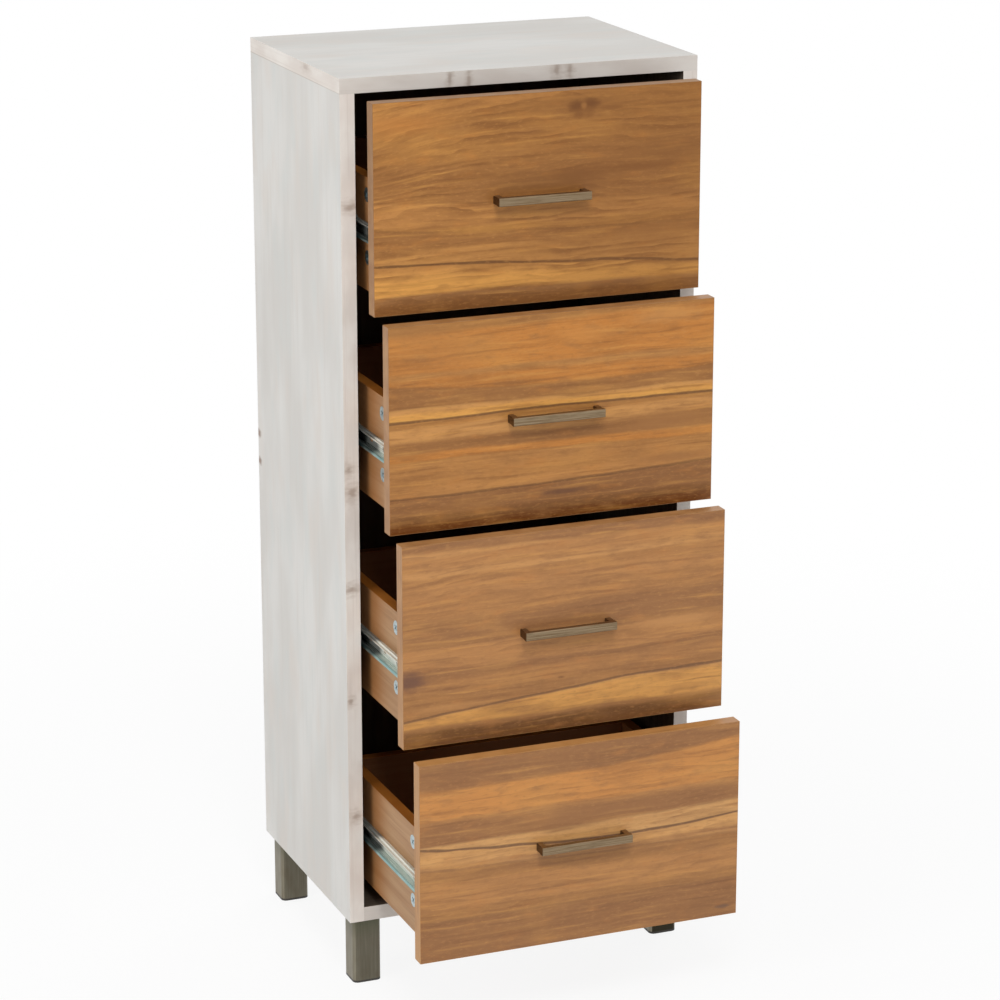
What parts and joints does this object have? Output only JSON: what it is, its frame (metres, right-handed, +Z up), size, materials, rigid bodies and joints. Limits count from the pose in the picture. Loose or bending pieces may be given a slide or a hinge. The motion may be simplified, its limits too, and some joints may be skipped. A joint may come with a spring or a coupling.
{
  "type": "bathroom drawer cabinet",
  "caption": "Tall narrow cabinet on square metal legs, whitewashed carcass, inset wood-decor drawers with bar handles that slide on ball-bearing runners.",
  "frame": {"origin": "on the floor, under the middle of the carcass", "axes": "+X to the right of someone facing the drawers, +Y to the back, +Z up"},
  "size_m": [0.4, 0.477, 1],
  "materials": {
    "whitewashed_board": "matt whitewashed pine decor",
    "back_board": "matt lacquered hardboard",
    "leg_metal": "brushed, bronze-grey",
    "glide_plastic": "matt",
    "dowel_wood": "bare beech",
    "screw_steel": "zinc plated",
    "cam_zinc": "die-cast zinc",
    "rail_zinc": "zinc plated, bluish",
    "cage_steel": "pressed strip with steel balls",
    "front_wood": "satin teak decor",
    "drawer_wood": "matt brown wood decor",
    "drawer_base_board": "matt hardboard with wood decor",
    "handle_nickel": "brushed nickel"
  },
  "bodies": {
    "cabinet": {"top_panel": "whitewashed_board", "bottom_panel": "whitewashed_board", "left_side_panel": "whitewashed_board", "right_side_panel": "whitewashed_board", "back_panel": "back_board", "leg_front_left": "leg_metal", "leg_front_right": "leg_metal", "leg_back_left": "leg_metal", "leg_back_right": "leg_metal", "leg_plates": "leg_metal", "leg_screws": "screw_steel", "foot_glides": "glide_plastic", "cam_fittings": "cam_zinc", "dowels": "dowel_wood", "back_panel_screws": "screw_steel", "rail_screws": "screw_steel", "cabinet_rails_1": "rail_zinc", "cabinet_rails_2": "rail_zinc", "cabinet_rails_3": "rail_zinc", "cabinet_rails_4": "rail_zinc"},
    "drawer_1": {"drawer_front_1": "front_wood", "drawer_left_wall_1": "drawer_wood", "drawer_right_wall_1": "drawer_wood", "drawer_rear_wall_1": "drawer_wood", "drawer_base_1": "drawer_base_board", "drawer_handle_1": "handle_nickel", "drawer_rails_1": "rail_zinc", "drawer_cam_fittings_1": "cam_zinc", "drawer_screws_1": "screw_steel"},
    "ball_cages_1": {"ball_cages_1": "cage_steel"},
    "drawer_2": {"drawer_front_2": "front_wood", "drawer_left_wall_2": "drawer_wood", "drawer_right_wall_2": "drawer_wood", "drawer_rear_wall_2": "drawer_wood", "drawer_base_2": "drawer_base_board", "drawer_handle_2": "handle_nickel", "drawer_rails_2": "rail_zinc", "drawer_cam_fittings_2": "cam_zinc", "drawer_screws_2": "screw_steel"},
    "ball_cages_2": {"ball_cages_2": "cage_steel"},
    "drawer_3": {"drawer_front_3": "front_wood", "drawer_left_wall_3": "drawer_wood", "drawer_right_wall_3": "drawer_wood", "drawer_rear_wall_3": "drawer_wood", "drawer_base_3": "drawer_base_board", "drawer_handle_3": "handle_nickel", "drawer_rails_3": "rail_zinc", "drawer_cam_fittings_3": "cam_zinc", "drawer_screws_3": "screw_steel"},
    "ball_cages_3": {"ball_cages_3": "cage_steel"},
    "drawer_4": {"drawer_front_4": "front_wood", "drawer_left_wall_4": "drawer_wood", "drawer_right_wall_4": "drawer_wood", "drawer_rear_wall_4": "drawer_wood", "drawer_base_4": "drawer_base_board", "drawer_handle_4": "handle_nickel", "drawer_rails_4": "rail_zinc", "drawer_cam_fittings_4": "cam_zinc", "drawer_screws_4": "screw_steel"},
    "ball_cages_4": {"ball_cages_4": "cage_steel"}
  },
  "joints": [
    {"name": "drawer_1_slide", "type": "slide", "parent": "cabinet", "child": "drawer_1", "axis": [0, -1, 0], "range_m": [-0.049, 0.136]},
    {"name": "ball_cages_1_slide", "type": "slide", "parent": "cabinet", "child": "ball_cages_1", "axis": [0, -1, 0], "range_m": [-0.0245, 0.068]},
    {"name": "drawer_2_slide", "type": "slide", "parent": "cabinet", "child": "drawer_2", "axis": [0, -1, 0], "range_m": [-0.089, 0.096]},
    {"name": "ball_cages_2_slide", "type": "slide", "parent": "cabinet", "child": "ball_cages_2", "axis": [0, -1, 0], "range_m": [-0.0445, 0.048]},
    {"name": "drawer_3_slide", "type": "slide", "parent": "cabinet", "child": "drawer_3", "axis": [0, -1, 0], "range_m": [-0.124, 0.061]},
    {"name": "ball_cages_3_slide", "type": "slide", "parent": "cabinet", "child": "ball_cages_3", "axis": [0, -1, 0], "range_m": [-0.062, 0.0305]},
    {"name": "drawer_4_slide", "type": "slide", "parent": "cabinet", "child": "drawer_4", "axis": [0, -1, 0], "range_m": [-0.17, 0.015]},
    {"name": "ball_cages_4_slide", "type": "slide", "parent": "cabinet", "child": "ball_cages_4", "axis": [0, -1, 0], "range_m": [-0.085, 0.0075]}
  ],
  "couplings": [
    {"joint": "ball_cages_1_slide", "follows": "drawer_1_slide", "ratio": 0.5},
    {"joint": "ball_cages_2_slide", "follows": "drawer_2_slide", "ratio": 0.5},
    {"joint": "ball_cages_3_slide", "follows": "drawer_3_slide", "ratio": 0.5},
    {"joint": "ball_cages_4_slide", "follows": "drawer_4_slide", "ratio": 0.5}
  ]
}
